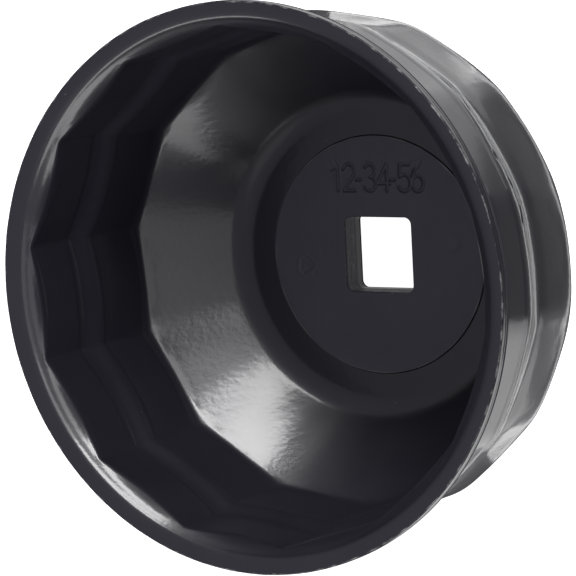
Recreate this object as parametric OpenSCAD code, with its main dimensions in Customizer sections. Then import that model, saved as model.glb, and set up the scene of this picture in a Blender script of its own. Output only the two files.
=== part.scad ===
// Cap-type oil filter wrench: a deep-drawn steel cup with two bands of fourteen
// flats, and a square-holed drive plate spot-welded into a seat that is drawn in
// its floor. The cup stands on the outside of the seat with its mouth up.
// Lengths in millimetres.

/* [Filter sizes] */
// Width across flats of the mouth band, the larger filter size
large_flats = 67; // [66.4:0.1:67.6]
// Width across flats of the deep band, the smaller filter size
small_flats = 65; // [64.4:0.1:65.6]
// How far the flute corners are turned from the sides of the square hole, in degrees
flute_turn = -8; // [-12.8:0.1:12.8]

/* [Cup] */
// Height from the bottom of the seat to the rim
cup_height = 40.3; // [39.5:0.1:40.8]
// Thickness of the drawn sheet
sheet = 1.5; // [1.3:0.05:1.7]
// Outside diameter of the flared rim
rim_diameter = 75.2; // [74.8:0.1:76]
// Radius of the bell-mouth flare, on its inner face
flare_radius = 5; // [4.8:0.1:5.2]
// Radius that the outer flute corners are drawn to
outer_corner_radius = 8; // [6:0.1:12]

/* [Depths below the rim] */
// Where the step between the two bands reaches the narrower band
step_depth = 14.2; // [13:0.1:15.5]
// Where the deep band would meet the shoulder if the bend were sharp
shoulder_depth = 25.7; // [25.3:0.1:26.5]

/* [Shoulder and floor] */
// Slope of the step between the bands, in degrees from level
step_slope = 54.5; // [50:0.5:60]
// Slope of the shoulder, in degrees from level
shoulder_slope = 42.5; // [41.5:0.5:45]
// Inner bend radius between the deep band and the shoulder
shoulder_bend = 4.7; // [3:0.1:5]
// Inner bend radius between the shoulder and the floor
floor_bend = 5; // [4:0.1:5]

/* [Seat of the drive plate] */
// Inside diameter of the seat
seat_diameter = 33.3; // [33.3:0.1:34.5]
// How far the seat drops below the ring of floor around it
seat_depth = 2.8; // [2.6:0.1:3]
// Inner bend radius at the foot of the seat
seat_root_bend = 0.15; // [0.1:0.05:0.15]
// Bend radius at the seat's edge, which is coined sharp
seat_edge_bend = 0.2; // [0.15:0.05:0.4]

/* [Drive plate] */
// Diameter of the blanked disc
plate_diameter = 33; // [31:0.1:33]
// Thickness of the disc
plate_thickness = 3; // [2.5:0.1:3.5]
// Side of the punched square, a loose fit on a 3/8 inch drive
drive_square = 10.3; // [9.8:0.05:10.4]
// Corner radius of the punched square
drive_corner = 1; // [0.6:0.1:1.2]

/* [Spot welds] */
// Distance of each weld from the centre
weld_reach = 11.7; // [11:0.1:12.5]
// Direction of the line through the two welds, in degrees
weld_turn = 7.8; // [0:0.1:15]
// Diameter of a weld nugget
weld_diameter = 4; // [3:0.1:5]
// How far a nugget reaches into the cup floor
weld_into_cup = 0.75; // [0.5:0.05:1]
// How far a nugget reaches into the drive plate
weld_into_plate = 1; // [0.5:0.05:1.5]

/* [Hidden] */

flutes = 14;
half_pitch = 180 / flutes;          // from the middle of a flat to its corner
corner_steps = 4;                   // straight pieces in each outer flute corner
bend_steps = 5;                     // straight pieces in each bend of the profile
rim_radius = rim_diameter / 2;
large_apothem = large_flats / 2;
small_apothem = small_flats / 2;
past = 2;                           // how far cutting shapes run past what they cut
core_radius = 26;                   // a radius that lies well inside the bands' walls
wall_gap = 0.3;                     // from a flute corner to the profile that it is cut from

// The flare is an arc whose centre stands a little outside the rim.
flare_overrun = 0.45;
flare_centre_radius = rim_radius + flare_overrun;
flare_centre_height = cup_height - sqrt(pow(flare_radius, 2) - pow(flare_overrun, 2));
flare_outer_radius = flare_radius - sheet;

// The step is a cone; its outer face lies one sheet thickness away, along the normal.
step_height = cup_height - step_depth;
step_rise = tan(step_slope);
outer_step_radius = small_apothem + sheet * sin(step_slope);
outer_step_height = step_height - sheet * cos(step_slope);

// The shoulder is a cone between the deep band and the ring of floor, with a bend
// at each end. Its sharp inner corners are placed half way between the flats and
// the flute corners.
seat_radius = seat_diameter / 2;
ring_height = seat_depth + sheet;   // inside of the ring of floor round the seat
shoulder_radius = (small_apothem + small_apothem / cos(half_pitch)) / 2;
shoulder_height = cup_height - shoulder_depth;
floor_radius = shoulder_radius - (shoulder_height - ring_height) / tan(shoulder_slope);
wall_turn = 90 - shoulder_slope;    // how much the sheet turns at the upper bend
outer_shift_wall = sheet * tan(wall_turn / 2);
outer_shift_floor = sheet * tan(shoulder_slope / 2);

// Points of an arc, from one angle to another, in equal steps.
function arc(centre, radius, from, to, steps) = [
    for (i = [0 : steps])
        let (a = from + (to - from) * i / steps)
            centre + radius * [cos(a), sin(a)]
];

// Outline of the flutes with plain corners.
function fluted(apothem) = [
    for (i = [0 : flutes - 1])
        let (a = flute_turn + 2 * half_pitch * i)
            apothem / cos(half_pitch) * [cos(a), sin(a)]
];

// Outline of the flutes with each corner drawn to a radius.
function rounded_flutes(apothem, radius) = [
    for (i = [0 : flutes - 1])
        let (a = flute_turn + 2 * half_pitch * i)
            let (centre = (apothem - radius) / cos(half_pitch) * [cos(a), sin(a)])
                each arc(centre, radius, a - half_pitch, a + half_pitch, corner_steps)
];

// Outline of a square with rounded corners.
function rounded_square(side, radius) = [
    for (i = [0 : 3])
        let (a = 45 + 90 * i)
            let (centre = (side / 2 - radius) * sqrt(2) * [cos(a), sin(a)])
                each arc(centre, radius, a - 45, a + 45, corner_steps)
];

// Profile of the seat: its floor, the bend at its foot, its wall and the bend at its edge.
function seat_profile(floor_z, seat_r, root_r, edge_r) =
    concat(
        [[0, floor_z - seat_depth]],
        arc([seat_r - root_r, floor_z - seat_depth + root_r], root_r, -90, 0, bend_steps),
        arc([seat_r + edge_r, floor_z - edge_r], edge_r, 180, 90, bend_steps)
    );

// Profile of the shoulder and the wall: bend, cone, bend and wall. The sharp corners
// of the profile lie at the two given points, and the wall runs up clear of the
// flutes' corners, so that the flutes alone shape the band.
function shoulder_profile(floor_z, floor_corner, wall_corner, floor_r, wall_r, top) =
    let (floor_length = floor_r * tan(shoulder_slope / 2))
    let (wall_length = wall_r * tan(wall_turn / 2))
    let (floor_centre = [floor_corner - floor_length, floor_z + floor_r])
    let (wall_centre = wall_corner + [-wall_r, wall_length])
    concat(
        arc(floor_centre, floor_r, -90, shoulder_slope - 90, bend_steps),
        arc(wall_centre, wall_r, shoulder_slope - 90, 0, bend_steps),
        [[wall_corner[0], top], [0, top]]
    );

// Profile of a step cone that starts inside the wall and rises to the rim.
function step_profile(radius, height, top) = [
    [0, height - (radius - core_radius) * step_rise],
    [core_radius, height - (radius - core_radius) * step_rise],
    [rim_radius, height + (rim_radius - radius) * step_rise],
    [rim_radius, top],
    [0, top]
];

// Outside of the deep band, the shoulder, the floor and the seat.
module lower_outside() {
    spread = (small_apothem + sheet) / cos(half_pitch) - shoulder_radius - sheet + wall_gap;
    intersection() {
        linear_extrude(height = step_height + past)
            polygon(rounded_flutes(small_apothem + sheet, outer_corner_radius));
        rotate_extrude($fn = 96)
            polygon(concat(
                seat_profile(
                    seat_depth, seat_radius + sheet, seat_root_bend + sheet, seat_edge_bend
                ),
                shoulder_profile(
                    seat_depth,
                    floor_radius + outer_shift_floor,
                    [shoulder_radius + sheet + spread, shoulder_height - outer_shift_wall
                        + spread * tan(shoulder_slope)],
                    floor_bend + sheet,
                    shoulder_bend + sheet,
                    step_height + past
                )
            ));
    }
}

// Outside of the mouth band, ending below in the step cone.
module upper_outside() {
    intersection() {
        linear_extrude(height = cup_height + past)
            polygon(rounded_flutes(large_apothem + sheet, outer_corner_radius));
        rotate_extrude($fn = 96)
            polygon(step_profile(outer_step_radius, outer_step_height, cup_height + past));
    }
}

// The flared lip, thickened inwards so that it merges with the mouth band.
module lip_outside() {
    edge_angle = 180 - acos(flare_overrun / flare_outer_radius);
    rotate_extrude($fn = 96)
        polygon(concat(
            [[core_radius, flare_centre_height]],
            arc(
                [flare_centre_radius, flare_centre_height],
                flare_outer_radius, 180, edge_angle, bend_steps
            ),
            [[rim_radius, cup_height + past], [core_radius, cup_height + past]]
        ));
}

// Space inside the deep band, down to the floor of the seat.
module lower_cavity() {
    spread = small_apothem / cos(half_pitch) - shoulder_radius + wall_gap;
    intersection() {
        linear_extrude(height = step_height + past)
            polygon(fluted(small_apothem));
        rotate_extrude($fn = 96)
            polygon(concat(
                seat_profile(ring_height, seat_radius, seat_root_bend, seat_edge_bend),
                shoulder_profile(
                    ring_height,
                    floor_radius,
                    [shoulder_radius + spread, shoulder_height + spread * tan(shoulder_slope)],
                    floor_bend,
                    shoulder_bend,
                    step_height + past
                )
            ));
    }
}

// Space inside the mouth band, down to the step.
module upper_cavity() {
    intersection() {
        linear_extrude(height = cup_height + past)
            polygon(fluted(large_apothem));
        rotate_extrude($fn = 96)
            polygon(step_profile(small_apothem, step_height, cup_height + past));
    }
}

// Space inside and above the flare. Its arc shapes the whole top of the lip.
module mouth_cavity() {
    top = cup_height + 2 * past;
    rotate_extrude($fn = 96)
        polygon(concat(
            [[0, flare_centre_height]],
            arc(
                [flare_centre_radius, flare_centre_height],
                flare_radius, 180, 90, 2 * bend_steps
            ),
            [[rim_radius + past, flare_centre_height + flare_radius]],
            [[rim_radius + past, top], [0, top]]
        ));
}

// The punched square, through the plate and the cup floor.
module drive_hole() {
    translate([0, 0, -past])
        linear_extrude(height = sheet + plate_thickness + 2 * past)
            polygon(rounded_square(drive_square, drive_corner));
}

// The fused metal at the two spot welds, half in the cup floor, half in the plate.
module weld_nuggets() {
    for (side = [0, 180])
        rotate([0, 0, weld_turn + side])
            translate([weld_reach, 0, sheet - weld_into_cup])
                cylinder(d = weld_diameter, h = weld_into_cup + weld_into_plate, $fn = 48);
}

module cup() {
    color("#16161a")
        difference() {
            union() {
                lower_outside();
                upper_outside();
                lip_outside();
            }
            lower_cavity();
            upper_cavity();
            mouth_cavity();
            drive_hole();
            weld_nuggets();
        }
}

module drive_plate() {
    color("#2a2a2e")
        difference() {
            translate([0, 0, sheet])
                cylinder(d = plate_diameter, h = plate_thickness, $fn = 128);
            drive_hole();
            weld_nuggets();
        }
}

module spot_welds() {
    color("#6e6a66")
        weld_nuggets();
}

cup();
drive_plate();
spot_welds();
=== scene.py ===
"""Looks of the cap-type oil filter wrench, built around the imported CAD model."""

import math

import bpy
import numpy as np
from mathutils import Matrix, Vector, noise


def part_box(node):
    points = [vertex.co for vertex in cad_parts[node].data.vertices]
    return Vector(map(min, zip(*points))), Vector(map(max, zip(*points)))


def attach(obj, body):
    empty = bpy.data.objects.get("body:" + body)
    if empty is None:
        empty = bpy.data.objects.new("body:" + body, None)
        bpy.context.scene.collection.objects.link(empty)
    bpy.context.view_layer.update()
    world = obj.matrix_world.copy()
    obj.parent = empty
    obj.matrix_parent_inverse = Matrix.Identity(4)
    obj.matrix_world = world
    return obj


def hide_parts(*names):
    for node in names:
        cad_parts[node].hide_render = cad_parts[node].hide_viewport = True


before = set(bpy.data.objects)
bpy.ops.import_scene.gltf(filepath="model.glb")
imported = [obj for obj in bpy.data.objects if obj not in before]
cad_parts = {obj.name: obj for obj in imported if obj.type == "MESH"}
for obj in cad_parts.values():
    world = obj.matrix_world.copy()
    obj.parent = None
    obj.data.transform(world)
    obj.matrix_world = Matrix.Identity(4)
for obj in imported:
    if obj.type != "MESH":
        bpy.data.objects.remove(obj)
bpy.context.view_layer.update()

MM = 0.001  # the mesh code works in millimetres, Blender in metres


# ---------------------------------------------------------------- sizes, from the frame

def box_mm(node):
    """Lowest and highest corner of a CAD node, in millimetres."""
    low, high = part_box(node)
    return np.array(low) / MM, np.array(high) / MM


cup_low, cup_high = box_mm("cup")
plate_low, plate_high = box_mm("drive_plate")

RIM_RADIUS = (cup_high[0] - cup_low[0]) / 2
HEIGHT = cup_high[2]
SHEET = plate_low[2]
PLATE_TOP = plate_high[2]
PLATE_RADIUS = (plate_high[0] - plate_low[0]) / 2

# The fluted bands: half widths across flats, and the radii of their corners.
FLUTES = 14
HALF_PITCH = math.pi / FLUTES
FLUTE_TURN = math.radians(-8)
LARGE_FLAT = 33.5
SMALL_FLAT = 32.5
INNER_CORNER = 1.6
OUTER_CORNER = 8.0

# The mouth's flare, the step between the bands, and the shoulder. Depths run from the rim.
FLARE_RADIUS = 5.0
FLARE_OVERRUN = 0.45  # how far outside the rim the flare's centre lies
STEP_DEPTH = 14.2
STEP_SLOPE = math.radians(54.5)
SHOULDER_DEPTH = 25.7
SHOULDER_SLOPE = math.radians(42.5)
SHOULDER_BEND = 4.7
FLOOR_BEND = 5.0

# The seat of the drive plate. The coat narrows the gap round the plate.
SEAT_RADIUS = 16.53
SEAT_DEPTH = 2.8
SEAT_ROOT_BEND = 0.15
SEAT_EDGE_BEND = 0.06

# The square hole, and the two weld marks on the drive plate.
DRIVE_HALF = 5.15
DRIVE_CORNER = 1.0
WELD_REACH = 11.7
WELD_TURN = math.radians(7.8)

STEP_HEIGHT = HEIGHT - STEP_DEPTH
SHOULDER_HEIGHT = HEIGHT - SHOULDER_DEPTH
FLARE_CENTRE = RIM_RADIUS + FLARE_OVERRUN
FLARE_HEIGHT = HEIGHT - math.sqrt(FLARE_RADIUS ** 2 - FLARE_OVERRUN ** 2)
SHOULDER_RADIUS = SMALL_FLAT * (1 + 1 / math.cos(HALF_PITCH)) / 2
RING_HEIGHT = SHEET + SEAT_DEPTH
FLOOR_RADIUS = SHOULDER_RADIUS - (SHOULDER_HEIGHT - RING_HEIGHT) / math.tan(SHOULDER_SLOPE)


# ---------------------------------------------------------------- mesh helpers

def soft_min(a, b, blend):
    """Smaller of two values, with a rounded change-over about as wide as blend."""
    mix = np.clip(0.5 + 0.5 * (b - a) / blend, 0, 1)
    return b + (a - b) * mix - blend * mix * (1 - mix) / 2


def soft_max(a, b, blend):
    """Larger of two values, with the same rounded change-over."""
    return -soft_min(-np.asarray(a), -np.asarray(b), blend)


def smooth_step(value):
    """0 below 0, 1 above 1, and a smooth ramp between."""
    t = np.clip(value, 0, 1)
    return t * t * (3 - 2 * t)


def bump_shape(offset, width):
    """A soft bump, 1 in the middle and about 0 at twice the width."""
    return np.exp(-(np.asarray(offset) / width) ** 2)


def bumpiness(radius, phi, height, scale, seed):
    """Smooth noise between about -1 and 1 round the axis; scale is its cell size in millimetres."""
    radius, phi, height = np.broadcast_arrays(radius, phi, height)
    shift = Vector((seed * 17.3, seed * -9.1, seed * 5.7))
    points = zip(radius * np.cos(phi) / scale, radius * np.sin(phi) / scale, height / scale)
    return np.array([noise.noise(Vector(p) + shift) for p in points])


def flute_angles():
    """Angles round the cup, close together at the flute corners."""
    near_degrees = [0.3, 0.6, 0.95, 1.4, 1.9, 2.45, 3.05]
    far_degrees = np.linspace(3.7, 12.1, 13)
    from_corner = np.concatenate([near_degrees, far_degrees])
    half_pitch = math.degrees(HALF_PITCH)
    offsets = np.radians(np.concatenate([-from_corner[::-1], [0], from_corner, [half_pitch]]))
    corners = FLUTE_TURN + 2 * HALF_PITCH * np.arange(FLUTES)
    return (corners[:, None] + offsets[None, :]).ravel()


def fluted(phi, flat, corner):
    """Distance from the axis to a 14-sided wall whose corners have a radius."""
    turn = (phi - FLUTE_TURN + HALF_PITCH) % (2 * HALF_PITCH) - HALF_PITCH
    off = np.abs(turn)
    centre = (flat - corner) / math.cos(HALF_PITCH)
    tangent = math.atan2(corner * math.sin(HALF_PITCH), centre + corner * math.cos(HALF_PITCH))
    inside = np.clip(corner ** 2 - (centre * np.sin(off)) ** 2, 0, None)
    rounded = centre * np.cos(off) + np.sqrt(inside)
    straight = flat / np.cos(HALF_PITCH - off)
    return np.where(off < tangent, rounded, straight)


def square_radius(phi, half, corner):
    """Distance from the axis to a square wall with rounded corners."""
    turn = (phi + math.pi / 4) % (math.pi / 2) - math.pi / 4
    off = np.abs(turn)
    reach = half - corner
    straight = half / np.cos(off)
    along = reach * (np.cos(off) + np.sin(off))
    inside = np.clip(along ** 2 - (2 * reach ** 2 - corner ** 2), 0, None)
    rounded = along + np.sqrt(inside)
    return np.where(np.tan(off) * half > reach, rounded, straight)


def ring_mesh(name, phi, rows):
    """A closed mesh of rings round the axis. Each row is (radius, height) over the angles."""
    points = []
    for radius, height in rows:
        radius = np.broadcast_to(radius, phi.shape)
        height = np.broadcast_to(height, phi.shape)
        points.append(np.column_stack([radius * np.cos(phi), radius * np.sin(phi), height]))
    count = len(phi)
    along = np.arange(count)
    faces = []
    for row in range(len(rows)):
        here = row * count + along
        above = (row + 1) % len(rows) * count + along
        faces.append(np.column_stack([above, np.roll(above, -1), np.roll(here, -1), here]))
    mesh = bpy.data.meshes.new(name)
    mesh.from_pydata((np.concatenate(points) * MM).tolist(), [], np.concatenate(faces).tolist())
    piece = bpy.data.objects.new(name, mesh)
    bpy.context.scene.collection.objects.link(piece)
    return piece


def smooth_shade(piece, sharp_degrees):
    """Smooth shading, with edges sharper than the angle left crisp."""
    piece.data.polygons.foreach_set("use_smooth", [True] * len(piece.data.polygons))
    piece.data.set_sharp_from_angle(angle=math.radians(sharp_degrees))


def paint(piece, name, values):
    """Stores one number per vertex for the material to read."""
    attribute = piece.data.attributes.new(name, "FLOAT", "POINT")
    attribute.data.foreach_set("value", np.asarray(values, dtype=np.float32))


def vertex_places(piece):
    """X, Y and Z of every vertex, in millimetres."""
    flat = np.empty(len(piece.data.vertices) * 3, dtype=np.float32)
    piece.data.vertices.foreach_get("co", flat)
    return flat.reshape(-1, 3).T / MM


# ---------------------------------------------------------------- the cup

# Small pinch marks that the draw left along the outer step: angle in degrees, height above
# the step's foot, and half length in millimetres.
PINCH_MARKS = [
    (46.8, 1.5, 1.2), (40.5, 1.2, 1.0), (28.0, 1.7, 0.5), (21.5, 1.3, 0.8), (14.6, 1.4, 1.2),
    (-30.6, 1.3, 0.9), (-43.0, 1.5, 0.7), (72.0, 1.2, 0.9), (101.0, 1.4, 1.1), (128.5, 1.3, 0.7),
    (163.0, 1.5, 1.0), (189.0, 1.2, 1.2), (214.5, 1.5, 0.8), (236.0, 1.3, 1.1), (284.0, 1.4, 0.9),
]
PINCH_DEPTH = 0.34
PINCH_WIDTH = 0.22
PINCH_SLANT = 0.12

# The inside of the flare is fuller than a true arc, most of all just below the rim.
LIP_FULLNESS = 0.25
FULLEST_DEPTH = 0.5
FULLNESS_WIDTH = 0.35
LIP_ROUNDING = 0.16

# How softly the surfaces run into each other: cone to upper band, and lower band to cone.
INNER_BLENDS = (1.5, 1.3)
OUTER_BLENDS = (1.6, 2.6)
INNER_LIP_BLEND = 0.4
OUTER_LIP_BLEND = 1.6
SHOULDER_BLEND = 0.8

# How finely the sheet's profile is divided. Rows and points include both ends of a stretch.
INNER_LIP_ROWS = 60
OUTER_LIP_ROWS = 26
STEP_ROWS = 48
BAND_ROWS_ABOVE_STEP = 9
BAND_ROWS_BELOW_STEP = 8
SHOULDER_BEND_STEPS = 14
CONE_POINTS = 12
SEAT_BEND_STEPS = 6
FLOOR_POINTS = 9
EDGE_POINTS = 15
RING_SHARES = (0.04, 0.12, 0.4, 0.7, 0.9, 0.97)  # close together at both edges of the ring

# The finely divided stretch round the step, and how far the shoulder runs past the corners.
STEP_REACH_UP = 4.0
STEP_REACH_DOWN = 2.5
CORNER_CLEARANCE = 0.3
WAVE_FADE = 4.0  # the draw waves die out over this height above the drive plate

# The lip's sheared edge. Shares run from 0 at its rolled lower corner to 1 at its broken top.
ROLLED_DEPTH = 0.22
ROLLED_SHARE = 0.3
TORN_START = 0.42
TORN_DEPTH = 0.04
TEAR_GRAIN = 0.02
TEAR_PATCHES = 0.03
ROUNDED_START = 0.86
FINE_NICKS = 0.006
BROAD_NICKS = 0.015

# The bare metal along the rim: a band inside the rim's corner, broken up by noise.
RIM_WEAR_INSET = 0.1
RIM_WEAR_WIDTH = 0.24


def band_radius(phi, height, flats, corner, step_radius, step_height, blends):
    """The two fluted bands and the step cone between them, at one height."""
    cone = step_radius + (height - step_height) / math.tan(STEP_SLOPE)
    upper = soft_min(fluted(phi, flats[0], corner), cone, blends[0])
    return soft_max(fluted(phi, flats[1], corner), upper, blends[1])


def bend_points(centre, radius, start, end, steps):
    """Points of a bend in the profile, as (radius, height)."""
    angles = np.radians(np.linspace(start, end, steps + 1))
    return [(centre[0] + radius * math.cos(a), centre[1] + radius * math.sin(a)) for a in angles]


def shoulder_points(floor_z, floor_corner, wall_corner, floor_bend, wall_bend):
    """The profile from the wall's bend down the shoulder to the ring, as (radius, height)."""
    slope = SHOULDER_SLOPE
    slope_degrees = math.degrees(slope)
    turn = math.pi / 2 - slope
    wall_centre = (wall_corner[0] - wall_bend, wall_corner[1] + wall_bend * math.tan(turn / 2))
    floor_centre = (floor_corner - floor_bend * math.tan(slope / 2), floor_z + floor_bend)
    upper = bend_points(wall_centre, wall_bend, 0, slope_degrees - 90, SHOULDER_BEND_STEPS)
    lower = bend_points(floor_centre, floor_bend, slope_degrees - 90, -90, SHOULDER_BEND_STEPS)
    top_radius, top_height = upper[-1]
    foot_radius, foot_height = lower[0]
    cone = [
        (top_radius + t * (foot_radius - top_radius), top_height + t * (foot_height - top_height))
        for t in np.linspace(0, 1, CONE_POINTS)[1:-1]
    ]
    return upper + cone + lower


def seat_points(floor_z, inner):
    """The profile of the seat from its edge down to its floor, as (radius, height)."""
    if inner:
        radius, root_bend = SEAT_RADIUS, SEAT_ROOT_BEND
    else:
        radius, root_bend = SEAT_RADIUS + SHEET, SEAT_ROOT_BEND + SHEET
    edge_centre = (radius + SEAT_EDGE_BEND, floor_z - SEAT_EDGE_BEND)
    root_centre = (radius - root_bend, floor_z - SEAT_DEPTH + root_bend)
    edge = bend_points(edge_centre, SEAT_EDGE_BEND, 90, 180, SEAT_BEND_STEPS)
    root = bend_points(root_centre, root_bend, 0, -90, SEAT_BEND_STEPS)
    return edge + root


def draw_waves(phi, height):
    """Slight unevenness of the drawn sheet, the same on both of its faces."""
    slow = 0.030 * np.sin(5 * phi + 1.0 + height / 9)
    quick = 0.016 * np.sin(17 * phi + 2.0 - height / 6) + 0.010 * np.sin(31 * phi + height / 4)
    return slow + quick


def pinch_marks(phi, height):
    """How deep the pinch marks cut into the outer face."""
    depth = np.zeros_like(phi)
    for angle, rise, half_length in PINCH_MARKS:
        away = (phi - math.radians(angle) + math.pi) % (2 * math.pi) - math.pi
        along = away * RIM_RADIUS
        slant = PINCH_SLANT * along * math.sin(7 * angle)
        across = height - STEP_HEIGHT - rise + slant
        depth += PINCH_DEPTH * bump_shape(across, PINCH_WIDTH) * bump_shape(along ** 2, half_length ** 2)
    return depth


def cup_face_rows(phi, inner):
    """Rows of one face of the sheet, from the lip's edge down into the seat, as (radius, height)."""
    if inner:
        gap, corner, blends = 0.0, INNER_CORNER, INNER_BLENDS
        lip_blend, lip_rows = INNER_LIP_BLEND, INNER_LIP_ROWS
    else:
        gap, corner, blends = SHEET, OUTER_CORNER, OUTER_BLENDS
        lip_blend, lip_rows = OUTER_LIP_BLEND, OUTER_LIP_ROWS
    flats = (LARGE_FLAT + gap, SMALL_FLAT + gap)
    step_radius = SMALL_FLAT + gap * math.sin(STEP_SLOPE)
    step_height = STEP_HEIGHT - gap * math.cos(STEP_SLOPE)
    ring_height = RING_HEIGHT - gap
    rows = []

    # The flare, from the rim down to where it meets the upper band.
    flare = FLARE_RADIUS - gap
    edge_angle = math.degrees(math.acos(FLARE_OVERRUN / flare))
    for a in np.radians(np.linspace(edge_angle, 0, lip_rows)):
        height = FLARE_HEIGHT + flare * math.sin(a)
        lip = FLARE_CENTRE - flare * math.cos(a)
        if inner:
            lip -= LIP_FULLNESS * bump_shape(HEIGHT - height - FULLEST_DEPTH, FULLNESS_WIDTH)
        band = band_radius(phi, height, flats, corner, step_radius, step_height, blends)
        band = band + draw_waves(phi, height)
        rows.append((soft_max(band, lip, lip_blend), height))

    # The shoulder's profile starts outside the flute corners, so that the flutes cut it.
    turn = math.pi / 2 - SHOULDER_SLOPE
    widest = fluted(phi, flats[1], corner).max() + CORNER_CLEARANCE
    spread = widest - SHOULDER_RADIUS - gap
    wall_corner = (
        widest,
        SHOULDER_HEIGHT - gap * math.tan(turn / 2) + spread * math.tan(SHOULDER_SLOPE),
    )
    floor_corner = FLOOR_RADIUS + gap * math.tan(SHOULDER_SLOPE / 2)
    shoulder = shoulder_points(
        ring_height, floor_corner, wall_corner, FLOOR_BEND + gap, SHOULDER_BEND + gap,
    )

    # The two bands, with the step between them divided most finely.
    step_top = STEP_HEIGHT + STEP_REACH_UP
    step_bottom = STEP_HEIGHT - STEP_REACH_DOWN
    heights = np.concatenate([
        np.linspace(FLARE_HEIGHT, step_top, BAND_ROWS_ABOVE_STEP)[1:-1],
        np.linspace(step_top, step_bottom, STEP_ROWS),
        np.linspace(step_bottom, shoulder[0][1], BAND_ROWS_BELOW_STEP)[1:-1],
    ])
    for height in heights:
        band = band_radius(phi, height, flats, corner, step_radius, step_height, blends)
        band = band + draw_waves(phi, height)
        if not inner:
            band = band - pinch_marks(phi, height)
        rows.append((band, height))

    for reach, height in shoulder:
        band = band_radius(phi, height, flats, corner, step_radius, step_height, blends)
        fade = smooth_step((height - PLATE_TOP) / WAVE_FADE)
        rows.append((soft_min(band, reach, SHOULDER_BLEND) + draw_waves(phi, height) * fade, height))

    seat = seat_points(ring_height, inner)
    ring_outside, ring_inside = rows[-1][0], seat[0][0]
    for share in RING_SHARES:
        rows.append((ring_outside + (ring_inside - ring_outside) * share, ring_height))
    return rows + seat


def seat_floor_rows(phi, start, height):
    """Rows from the seat's bend to the edge of the square hole."""
    hole = square_radius(phi, DRIVE_HALF, DRIVE_CORNER)
    shares = np.linspace(0, 1, FLOOR_POINTS)[1:]
    return [(start + (hole - start) * t, height) for t in shares]


def sheared_edge_rows(phi, low, high):
    """The lip's sheared edge: a rolled corner below, torn metal above and a broken, rounded top."""
    rows = []
    for t in np.linspace(0, 1, EDGE_POINTS)[1:-1]:
        height = low + (high - low) * t
        rolled = ROLLED_DEPTH * (1 - smooth_step(t / ROLLED_SHARE))
        torn = smooth_step((t - TORN_START) / 0.08) * smooth_step((1.0 - t) / 0.1)
        grain = bumpiness(RIM_RADIUS, phi, height * 0.6, 0.55, 3)
        patches = bumpiness(RIM_RADIUS, phi, height * 0.3, 2.6, 4)
        tear = torn * (TORN_DEPTH + TEAR_GRAIN * grain + TEAR_PATCHES * patches)
        rounding = LIP_ROUNDING * smooth_step((t - ROUNDED_START) / 0.14) ** 2
        rows.append((RIM_RADIUS - rolled - tear - rounding, height))
    return rows


def lip_nicks(phi):
    """Small nicks along the top of the lip, where the shear tore the sheet."""
    fine = bumpiness(RIM_RADIUS, phi, 0.0, 0.9, 5) * FINE_NICKS
    broad = bumpiness(RIM_RADIUS, phi, 0.0, 3.1, 6) * BROAD_NICKS
    return fine + broad


def make_cup():
    """The pressed cup, with what its coat needs to know painted on its vertices."""
    phi = flute_angles()
    inner = cup_face_rows(phi, True)
    outer = cup_face_rows(phi, False)
    inner_floor = seat_floor_rows(phi, inner[-1][0], SHEET)
    outer_floor = seat_floor_rows(phi, outer[-1][0], 0.0)
    hole = square_radius(phi, DRIVE_HALF, DRIVE_CORNER)
    hole_wall = [(hole, height) for height in np.linspace(SHEET, 0, 5)[1:-1]]

    top_radius, top_height = inner[0]
    inner[0] = (top_radius - LIP_ROUNDING + lip_nicks(phi), top_height)

    edge = sheared_edge_rows(phi, outer[0][1], inner[0][1])
    rows = inner + inner_floor + hole_wall + outer_floor[::-1] + outer[::-1] + edge
    piece = ring_mesh("cup_pressing", phi, rows)
    smooth_shade(piece, 50)

    x, y, height = vertex_places(piece)
    radius = np.hypot(x, y)
    outer_start = (len(inner) + len(inner_floor) + len(hole_wall)) * len(phi)
    outside = np.zeros(len(radius))
    outside[outer_start:] = 1
    from_rim = np.hypot(radius - RIM_RADIUS + RIM_WEAR_INSET, height - HEIGHT)
    broken = 0.6 + 0.8 * np.tile(bumpiness(RIM_RADIUS, phi, 0.0, 1.7, 7), len(rows))
    paint(piece, "outside", outside)
    paint(piece, "edge_wear", bump_shape(from_rim, RIM_WEAR_WIDTH) * np.clip(broken, 0, 1))
    return piece


# ---------------------------------------------------------------- the drive plate

STAMP_TEXT = "12-34-56"
STAMP_HEIGHT = 3.7
STAMP_MIDDLE = 10.65  # how far the figures' middle line is from the axis
FIGURE_PITCH = 2.06
DASH_PITCH = 1.25
STAMP_SHIFT = 0.2163  # how far the row of figures is moved along +X from the middle
STROKE_WIDTH = 0.46
STAMP_DEPTH = 0.26
STAMP_EDGE_RISE = 0.05

# A weld mark: a raised ring round a shallow crater, in rough ground that fades out beyond it.
MARK_RING = 1.35
RING_RISE = 0.075
RING_WIDTH = 0.2
CRATER_RADIUS = 0.7
CRATER_DEPTH = 0.05
MARK_ROUGHNESS = 0.055
MARK_GRAIN = 0.55
MARK_REACH = 1.6
MARK_FADE = 0.9

SCRATCH_START = (-9.2, 1.2)
SCRATCH_END = (-8.4, -0.9)
SCRATCH_DEPTH = 0.05
SCRATCH_WIDTH = 0.11

PLATE_UNEVENNESS = 0.03
TORN_WALL = 0.05  # how deep the tear runs in the hole's wall and in the plate's edge
HOLE_GRAIN = 0.06
EDGE_GRAIN = 0.05
HOLE_LIP = 0.35  # how far outside the hole the plate's flat top ends
PLATE_WEAR_WIDTH = 0.16


def stroke_arc(centre_x, centre_y, radius_x, radius_y, start, end):
    """Points of a curved stroke, from one angle to another in degrees."""
    angles = np.radians(np.linspace(start, end, 15))
    return [(centre_x + radius_x * math.cos(a), centre_y + radius_y * math.sin(a)) for a in angles]


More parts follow.
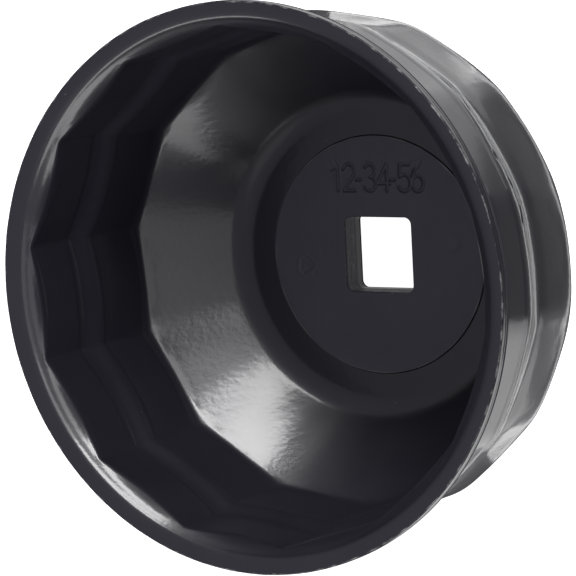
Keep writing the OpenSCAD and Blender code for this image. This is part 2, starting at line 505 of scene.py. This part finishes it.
# A plain stroke font for the stamped marks: each figure is a few lines in a box one unit high.
FIGURES = {
    "1": [[(0.10, 0.78), (0.34, 1.0), (0.34, 0.0)]],
    "2": [stroke_arc(0.27, 0.74, 0.24, 0.26, 165, -35) + [(0.03, 0.0), (0.52, 0.0)]],
    "3": [stroke_arc(0.26, 0.76, 0.22, 0.24, 150, -85) + stroke_arc(0.26, 0.26, 0.25, 0.26, 85, -150)],
    "4": [[(0.42, 0.0), (0.42, 1.0), (0.02, 0.28), (0.56, 0.28)]],
    "5": [[(0.49, 1.0), (0.10, 1.0), (0.07, 0.56)] + stroke_arc(0.26, 0.31, 0.26, 0.31, 135, -150)],
    "6": [stroke_arc(0.27, 0.29, 0.24, 0.29, -180, 180), stroke_arc(0.47, 0.29, 0.44, 0.71, 180, 95)],
    "-": [[(0.02, 0.42), (0.22, 0.42)]],
}


def stamp_strokes():
    """Line segments of the stamped figures, as start and end points on the plate."""
    pitches = [DASH_PITCH if figure == "-" else FIGURE_PITCH for figure in STAMP_TEXT]
    x = STAMP_SHIFT - sum(pitches) / 2
    segments = []
    for figure, pitch in zip(STAMP_TEXT, pitches):
        for line in FIGURES[figure]:
            points = [
                (x + STAMP_HEIGHT * u, STAMP_MIDDLE + STAMP_HEIGHT * (v - 0.5)) for u, v in line
            ]
            segments += list(zip(points[:-1], points[1:]))
        x += pitch
    return segments


def along_and_away(x, y, start, end):
    """For a line on the plate: the nearest point's share of its length, and the distance to it."""
    dx, dy = end[0] - start[0], end[1] - start[1]
    along = np.clip(((x - start[0]) * dx + (y - start[1]) * dy) / (dx * dx + dy * dy), 0, 1)
    return along, np.hypot(x - start[0] - along * dx, y - start[1] - along * dy)


def stamp_relief(x, y):
    """Height change of the stamped figures: rounded grooves with slightly raised edges."""
    away = np.full(x.shape, 100.0)
    for start, end in stamp_strokes():
        away = np.minimum(away, along_and_away(x, y, start, end)[1])
    groove = -STAMP_DEPTH * (1 - smooth_step((away - 0.06) / (STROKE_WIDTH / 2)))
    return groove + STAMP_EDGE_RISE * bump_shape(away - STROKE_WIDTH / 2 - 0.14, 0.12)


def weld_relief(x, y, turn, seed):
    """Height change of one electrode mark: a rough ring round a shallow, uneven crater."""
    centre_x = WELD_REACH * math.cos(turn)
    centre_y = WELD_REACH * math.sin(turn)
    away = np.hypot(x - centre_x, y - centre_y)
    around = np.arctan2(y - centre_y, x - centre_x)
    ring = MARK_RING * (1 + 0.10 * np.sin(3 * around + seed) + 0.05 * np.sin(7 * around - 2 * seed))
    near = 1 - smooth_step((away - MARK_REACH) / MARK_FADE)
    shift = Vector((seed * 3.1, seed * 7.7, 0))
    rough = np.array([
        noise.fractal(Vector((px / MARK_GRAIN, py / MARK_GRAIN, 0)) + shift, 0.8, 2.1, 3) if n > 0 else 0.0
        for px, py, n in zip(x.ravel(), y.ravel(), near.ravel())
    ]).reshape(x.shape)
    strength = 0.65 + 0.35 * np.sin(around + 1.3 * seed)
    crater = -CRATER_DEPTH * (1 - smooth_step((away - CRATER_RADIUS) / 0.6))
    raised = RING_RISE * strength * bump_shape(away - ring, RING_WIDTH)
    return near * (MARK_ROUGHNESS * rough + crater) + raised


def scratch_relief(x, y):
    """A light scratch beside the left electrode mark."""
    along, away = along_and_away(x, y, SCRATCH_START, SCRATCH_END)
    return -SCRATCH_DEPTH * bump_shape(away, SCRATCH_WIDTH) * np.sin(math.pi * np.clip(along, 0.05, 0.95))


def plate_angles():
    """Angles round the plate, close together where the stamp and the weld marks are."""
    even = np.arange(0, 360, 2.5)
    stamp = np.arange(48, 132, 0.5)
    marks = [np.arange(-11, 11, 0.8) + math.degrees(WELD_TURN) + side for side in (0, 180)]
    corners = [np.arange(-6, 6.1, 1.5) + 45 + 90 * i for i in range(4)]
    fine = np.concatenate([stamp] + marks + corners) % 360
    lonely = even[np.abs(even[:, None] - fine[None, :]).min(axis=1) > 0.7]
    angles = np.sort(np.concatenate([lonely, fine]))
    keep = np.concatenate([[True], np.diff(angles) > 0.3])
    return np.radians(angles[keep])


def plate_hole_rows(phi, hole):
    """The square hole from the top down: its pulled-in edge, and a wall torn further down."""
    top = PLATE_TOP
    rows = [(hole + 0.22, top), (hole + 0.1, top - 0.03), (hole + 0.02, top - 0.12)]
    for height in np.linspace(top - 0.35, SHEET, 16):
        torn = smooth_step((top - 0.5 - height) / 0.3)
        grain = bumpiness(hole, phi, height, 0.5, 8) + 0.6 * bumpiness(hole, phi, height, 0.25, 9)
        rows.append((hole + torn * (TORN_WALL + HOLE_GRAIN * grain), height))
    rows[-1] = (hole, SHEET)
    return rows


def plate_underside_rows(hole):
    """The plate's underside, which lies on the seat's floor."""
    return [(hole + (PLATE_RADIUS - hole) * t + 0.02, SHEET) for t in np.linspace(0, 1, 7)[:-1]]


def plate_edge_rows(phi):
    """The blanked edge of the plate, from below up to its rounded top corner."""
    top = PLATE_TOP
    rows = []
    rough = bumpiness(PLATE_RADIUS, phi, 0.0, 1.1, 10) * 0.03
    for height in np.linspace(SHEET, top - 0.1, 12):
        torn = smooth_step((top - 0.9 - height) / 0.3) * smooth_step((height - SHEET) / 0.4)
        grain = bumpiness(PLATE_RADIUS, phi, height, 0.7, 11)
        rows.append((PLATE_RADIUS - 0.04 - torn * (TORN_WALL + EDGE_GRAIN * grain), height))
    rows.append((PLATE_RADIUS - 0.10 + rough, top - 0.01))
    rows.append((PLATE_RADIUS - 0.22 + rough, top))
    return rows


def plate_top_rows(phi, hole):
    """The plate's flat top, from its edge in to the hole, finest under the stamp."""
    reaches = np.concatenate([[16.0, 15.4, 14.8, 14.1], np.arange(13.5, 8.2, -0.12)])
    rows = [(np.full(phi.shape, reach), PLATE_TOP) for reach in reaches]
    inner_edge = hole + HOLE_LIP
    for t in np.linspace(0, 1, 8)[1:]:
        rows.append((reaches[-1] + (inner_edge - reaches[-1]) * t, PLATE_TOP))
    return rows


def make_drive_plate():
    """The drive plate, with its stamp, weld marks, scratch and rough hole."""
    phi = plate_angles()
    hole = square_radius(phi, DRIVE_HALF, DRIVE_CORNER)
    hole_rows = plate_hole_rows(phi, hole)
    rows = hole_rows + plate_underside_rows(hole) + plate_edge_rows(phi) + plate_top_rows(phi, hole)
    piece = ring_mesh("drive_disc", phi, rows)

    x, y, height = vertex_places(piece)
    radius = np.hypot(x, y)
    relief = stamp_relief(x, y) + scratch_relief(x, y)
    for seed, side in ((1.0, 0), (2.0, math.pi)):
        relief += weld_relief(x, y, WELD_TURN + side, seed)
    relief += PLATE_UNEVENNESS * np.sin(x / 5.1 + 0.7) * np.sin(y / 4.3 + 0.2)
    on_top = (height > PLATE_TOP - 0.005) & (radius < PLATE_RADIUS - 0.3)
    height = np.where(on_top, height + relief, height)
    places = np.column_stack([x, y, height]) * MM
    piece.data.vertices.foreach_set("co", places.astype(np.float32).ravel())
    piece.data.update()
    smooth_shade(piece, 45)

    edge = bump_shape(radius - PLATE_RADIUS + 0.1, PLATE_WEAR_WIDTH) * (height > PLATE_TOP - 0.3)
    broken = np.tile(0.5 + 0.9 * bumpiness(PLATE_RADIUS, phi, 0.0, 2.3, 12), len(rows))
    in_hole = np.zeros(len(radius))
    in_hole[:len(hole_rows) * len(phi)] = 1
    paint(piece, "edge_wear", edge * np.clip(broken, 0, 1))
    paint(piece, "in_hole", in_hole)
    return piece


# ---------------------------------------------------------------- materials

COAT_DARK = (0.014, 0.013, 0.019)
COAT_LIGHT = (0.019, 0.018, 0.026)
DUST = (0.30, 0.29, 0.28)
BARE_LIP = (0.34, 0.33, 0.32)
PLATE_DARK = (0.090, 0.089, 0.103)
PLATE_LIGHT = (0.112, 0.110, 0.128)
BARE_PLATE = (0.24, 0.23, 0.22)
WELD_BROWN = (0.30, 0.26, 0.22)
WELD_GREY = (0.46, 0.45, 0.46)


class Graph:
    """A new material, with short ways to add and join shader nodes."""

    def __init__(self, name):
        """Starts with the material's own shader and the piece's own coordinates."""
        self.material = bpy.data.materials.new(name)
        self.material.use_nodes = True
        self.nodes = self.material.node_tree.nodes
        self.links = self.material.node_tree.links
        self.shader = self.nodes["Principled BSDF"]
        self.place = self.nodes.new("ShaderNodeTexCoord").outputs["Object"]

    def join(self, source, socket):
        """Sets a socket to a number, or links another node's output to it."""
        if isinstance(source, (int, float)):
            socket.default_value = source
        else:
            self.links.new(source, socket)

    def shade(self, name, source):
        """Sets or links one input of the material's shader."""
        self.join(source, self.shader.inputs[name])

    def math(self, operation, a, b):
        """One arithmetic step."""
        node = self.nodes.new("ShaderNodeMath")
        node.operation = operation
        self.join(a, node.inputs[0])
        self.join(b, node.inputs[1])
        return node.outputs[0]

    def stretched(self, x, y, z):
        """The piece's coordinates, scaled along each axis."""
        node = self.nodes.new("ShaderNodeMapping")
        node.inputs["Scale"].default_value = (x, y, z)
        self.links.new(self.place, node.inputs["Vector"])
        return node.outputs["Vector"]

    def noise(self, cell_mm, detail, place=None):
        """Smooth noise around 0.5, with cells of the given size."""
        node = self.nodes.new("ShaderNodeTexNoise")
        node.inputs["Scale"].default_value = 1 / (cell_mm * MM)
        node.inputs["Detail"].default_value = detail
        self.links.new(place or self.place, node.inputs["Vector"])
        return node.outputs[0]

    def specks(self, cell_mm, size_mm):
        """1 inside small round specks, one in each cell, else 0."""
        node = self.nodes.new("ShaderNodeTexVoronoi")
        node.inputs["Scale"].default_value = 1 / (cell_mm * MM)
        self.links.new(self.place, node.inputs["Vector"])
        return self.math("LESS_THAN", node.outputs["Distance"], size_mm / cell_mm)

    def attribute(self, name):
        """A number painted on the mesh."""
        node = self.nodes.new("ShaderNodeAttribute")
        node.attribute_name = name
        return node.outputs["Fac"]

    def spread(self, value, low, high, to_low=0.0, to_high=1.0):
        """The value's range from low to high, drawn out to another range and cut off there."""
        node = self.nodes.new("ShaderNodeMapRange")
        self.join(value, node.inputs["Value"])
        node.inputs["From Min"].default_value = low
        node.inputs["From Max"].default_value = high
        node.inputs["To Min"].default_value = to_low
        node.inputs["To Max"].default_value = to_high
        return node.outputs["Result"]

    def blend_colours(self, share, first, second):
        """A mix of two colours; at share 1 it is the second."""
        node = self.nodes.new("ShaderNodeMix")
        node.data_type = "RGBA"
        self.join(share, node.inputs["Factor"])
        for colour, socket in ((first, node.inputs[6]), (second, node.inputs[7])):
            if isinstance(colour, tuple):
                socket.default_value = colour + (1,)
            else:
                self.links.new(colour, socket)
        return node.outputs[2]

    def bump(self, height, depth_mm, before=None):
        """Surface relief of the given depth, on top of any relief before it."""
        node = self.nodes.new("ShaderNodeBump")
        node.inputs["Distance"].default_value = depth_mm * MM
        node.inputs["Strength"].default_value = 1.0
        self.links.new(height, node.inputs["Height"])
        if before:
            self.links.new(before, node.inputs["Normal"])
        return node.outputs["Normal"]


def cup_coat():
    """Gloss black coat: orange peel all over, draw lines outside, dust, and wear on the lip."""
    graph = Graph("cup_coat")
    outside = graph.attribute("outside")
    wear = graph.attribute("edge_wear")

    cloudy = graph.noise(9.0, 3)
    coat = graph.blend_colours(cloudy, COAT_DARK, COAT_LIGHT)
    dusty_patches = graph.spread(graph.noise(14.0, 1), 0.45, 0.6)
    dust = graph.math("MULTIPLY", graph.specks(4.6, 0.07), dusty_patches)
    dusty = graph.blend_colours(graph.math("MULTIPLY", dust, 0.7), coat, DUST)
    worn = graph.spread(graph.math("ADD", wear, graph.noise(0.5, 2)), 0.95, 1.4)
    graph.shade("Base Color", graph.blend_colours(worn, dusty, BARE_LIP))
    graph.shade("Metallic", graph.math("MULTIPLY", worn, 0.6))

    grain = graph.math("MULTIPLY", graph.noise(0.35, 2), 0.05)
    sheen = graph.math("ADD", graph.spread(cloudy, 0.3, 0.7, 0.31, 0.38), grain)
    graph.shade("Roughness", graph.math("ADD", sheen, graph.math("MULTIPLY", worn, 0.15)))
    graph.shade("Coat Weight", 0.8)
    graph.shade("Coat Roughness", 0.14)

    peel = graph.bump(graph.noise(0.8, 2), 0.014)
    lines = graph.noise(0.45, 2, graph.stretched(1, 1, 0.035))
    normal = graph.bump(graph.math("MULTIPLY", lines, outside), 0.012, peel)
    graph.shade("Normal", normal)
    graph.shade("Coat Normal", normal)
    return graph.material


def plate_coat():
    """Semi-gloss black coat over blanked plate, with bare edges here and there."""
    graph = Graph("plate_coat")
    wear = graph.attribute("edge_wear")
    in_hole = graph.attribute("in_hole")

    coat = graph.blend_colours(graph.noise(6.0, 4), PLATE_DARK, PLATE_LIGHT)
    torn = graph.math("MULTIPLY", in_hole, graph.spread(graph.noise(0.5, 3), 0.56, 0.66))
    worn = graph.math("MAXIMUM", graph.spread(wear, 0.25, 0.8), graph.math("MULTIPLY", torn, 0.5))
    graph.shade("Base Color", graph.blend_colours(worn, coat, BARE_PLATE))
    graph.shade("Metallic", graph.math("MULTIPLY", worn, 0.4))
    graph.shade("Roughness", graph.spread(graph.noise(1.4, 3), 0.3, 0.7, 0.36, 0.46))

    pores = graph.bump(graph.noise(0.30, 2), 0.007)
    graph.shade("Normal", graph.bump(graph.noise(1.6, 2), 0.020, pores))
    return graph.material


def weld_steel():
    """Fused steel of the weld nuggets, with heat colours."""
    graph = Graph("weld_steel")
    heat = graph.noise(1.8, 3)
    graph.shade("Base Color", graph.blend_colours(heat, WELD_BROWN, WELD_GREY))
    graph.shade("Metallic", 1.0)
    graph.shade("Roughness", graph.spread(heat, 0.3, 0.7, 0.35, 0.5))
    graph.shade("Normal", graph.bump(graph.noise(0.2, 2), 0.01))
    return graph.material


# ---------------------------------------------------------------- studio

AIM = Vector((-5.506, -2.594, 20.0)) * MM
VIEW_AZIMUTH = math.radians(-104.3234)
VIEW_ELEVATION = math.radians(58.5241)
VIEW_DISTANCE = 0.54103
VIEW_ROLL = math.radians(-105.1839)
LENS_MM = 251.18
SENSOR_MM = 36.0

# The white floor is the one that shows. The one under it takes the light and shows in reflections.
FLOOR_HALF = 3.0
WHITE_FLOOR_HEIGHT = -0.0001
WHITE_FLOOR_COLOUR = 0.9
WHITE_FLOOR_GLOW = 1.0
LIT_FLOOR_HEIGHT = -0.0003
LIT_FLOOR_COLOUR = 0.12
FLOOR_ROUGHNESS = 0.9

BOX_DISTANCE = 0.9
PANEL_HEIGHT = 0.0003
NEAR_PANEL_TURNS = (-40, 0, 40, 80)

# The air's own light: dim near the horizon, brighter high up. Heights are of a unit direction.
AIR_COLOUR = (1.0, 0.98, 1.12, 1)
DIM_BELOW = 0.2
BRIGHT_ABOVE = 0.6
DIM_GLOW = 0.05
BRIGHT_GLOW = 0.29


def make_camera():
    """The camera, turned about its own line of sight as well."""
    level = math.cos(VIEW_ELEVATION)
    forward = Vector((
        math.sin(VIEW_AZIMUTH) * level, math.cos(VIEW_AZIMUTH) * level, -math.sin(VIEW_ELEVATION),
    ))
    upright = Vector((0, 0, 1)) - forward * forward.z
    upright.normalize()
    side = forward.cross(upright)
    right = side * math.cos(VIEW_ROLL) + upright * math.sin(VIEW_ROLL)
    up = upright * math.cos(VIEW_ROLL) - side * math.sin(VIEW_ROLL)
    turn = Matrix((right, up, -forward)).transposed().to_4x4()
    camera = bpy.data.objects.new("camera", bpy.data.cameras.new("camera"))
    camera.matrix_world = Matrix.Translation(AIM - forward * VIEW_DISTANCE) @ turn
    camera.data.lens = LENS_MM
    camera.data.sensor_width = SENSOR_MM
    camera.data.clip_start = 0.01
    camera.data.clip_end = 20
    bpy.context.scene.collection.objects.link(camera)
    bpy.context.scene.camera = camera


def make_floor(name, height, brightness, glow):
    """A large flat floor of one grey, with its own glow."""
    half = FLOOR_HALF
    mesh = bpy.data.meshes.new(name)
    corners = [(-half, -half, height), (half, -half, height), (half, half, height), (-half, half, height)]
    mesh.from_pydata(corners, [], [(0, 1, 2, 3)])
    floor = bpy.data.objects.new(name, mesh)
    bpy.context.scene.collection.objects.link(floor)
    material = bpy.data.materials.new(name)
    material.use_nodes = True
    shader = material.node_tree.nodes["Principled BSDF"]
    shader.inputs["Base Color"].default_value = (brightness, brightness, brightness, 1)
    shader.inputs["Roughness"].default_value = FLOOR_ROUGHNESS
    shader.inputs["Emission Color"].default_value = (1, 1, 1, 1)
    shader.inputs["Emission Strength"].default_value = glow
    mesh.materials.append(material)
    return floor


def make_floors():
    """A white floor that only the camera sees, over a dark grey one that takes the light."""
    seen = make_floor("white_floor", WHITE_FLOOR_HEIGHT, WHITE_FLOOR_COLOUR, WHITE_FLOOR_GLOW)
    seen.visible_diffuse = False
    seen.visible_glossy = False
    seen.visible_shadow = False
    lit = make_floor("pale_floor", LIT_FLOOR_HEIGHT, LIT_FLOOR_COLOUR, 0.0)
    lit.visible_camera = False


def area_light(name, width, height, radiance):
    """A rectangular light, hidden from the camera; radiance 1 is as bright as white paper."""
    lamp = bpy.data.lights.new(name, "AREA")
    lamp.shape = "RECTANGLE"
    lamp.size = width
    lamp.size_y = height
    lamp.energy = radiance * math.pi * width * height
    light = bpy.data.objects.new(name, lamp)
    light.visible_camera = False
    bpy.context.scene.collection.objects.link(light)
    return light


def soft_box(name, azimuth, elevation, width, height, radiance):
    """A soft box in a given direction from the object, facing it; sizes in metres."""
    across = math.cos(math.radians(elevation))
    direction = Vector((
        across * math.cos(math.radians(azimuth)),
        across * math.sin(math.radians(azimuth)),
        math.sin(math.radians(elevation)),
    ))
    light = area_light(name, width, height, radiance)
    light.location = direction * BOX_DISTANCE
    light.rotation_euler = (-direction).to_track_quat("-Z", "Y").to_euler()


def floor_panel(name, azimuth, reach, width, length, radiance):
    """A light panel lying on the floor beside the object, facing up; sizes in metres."""
    turn = math.radians(azimuth)
    light = area_light(name, width, length, radiance)
    light.location = (reach * math.cos(turn), reach * math.sin(turn), PANEL_HEIGHT)
    light.rotation_euler = (math.pi, 0, turn)


def make_air():
    """The world's light, which grows with the height of the direction."""
    world = bpy.data.worlds.new("studio")
    world.use_nodes = True
    nodes = world.node_tree.nodes
    links = world.node_tree.links
    background = nodes["Background"]
    background.inputs["Color"].default_value = AIR_COLOUR
    direction = nodes.new("ShaderNodeTexCoord")
    upward = nodes.new("ShaderNodeSeparateXYZ")
    glow = nodes.new("ShaderNodeMapRange")
    glow.inputs["From Min"].default_value = DIM_BELOW
    glow.inputs["From Max"].default_value = BRIGHT_ABOVE
    glow.inputs["To Min"].default_value = DIM_GLOW
    glow.inputs["To Max"].default_value = BRIGHT_GLOW
    links.new(direction.outputs["Generated"], upward.inputs["Vector"])
    links.new(upward.outputs["Z"], glow.inputs["Value"])
    links.new(glow.outputs["Result"], background.inputs["Strength"])
    bpy.context.scene.world = world


def make_lights():
    """Soft boxes that draw the highlights, and small panels that the cup's outside mirrors."""
    soft_box("key", azimuth=72, elevation=31, width=0.58, height=0.18, radiance=15)
    soft_box("key_side", azimuth=38, elevation=33, width=0.50, height=0.20, radiance=3.0)
    soft_box("right_fill", azimuth=-1, elevation=34, width=0.80, height=0.26, radiance=0.8)
    soft_box("front_fill", azimuth=-88, elevation=27, width=1.5, height=0.24, radiance=3.6)
    soft_box("overhead", azimuth=-85, elevation=55, width=0.40, height=0.30, radiance=0.2)
    floor_panel("panel_low", azimuth=-48, reach=0.068, width=0.050, length=0.070, radiance=1.2)
    floor_panel("panel_high", azimuth=72, reach=0.066, width=0.050, length=0.080, radiance=0.9)
    floor_panel("panel_hole", azimuth=0, reach=0, width=0.014, length=0.014, radiance=0.3)
    for turn in NEAR_PANEL_TURNS:
        floor_panel("panel_near", azimuth=turn, reach=0.0378, width=0.0030, length=0.028, radiance=1.8)


def make_studio():
    """Camera, floors, air and lights."""
    make_camera()
    make_floors()
    make_air()
    bpy.context.scene.view_settings.view_transform = "Standard"
    make_lights()


# ---------------------------------------------------------------- put together

cup = make_cup()
cup.data.materials.append(cup_coat())
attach(cup, "root")
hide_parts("cup")

plate = make_drive_plate()
plate.data.materials.append(plate_coat())
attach(plate, "root")
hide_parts("drive_plate")

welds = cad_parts["spot_welds"]
welds.data.materials.clear()
welds.data.materials.append(weld_steel())

make_studio()
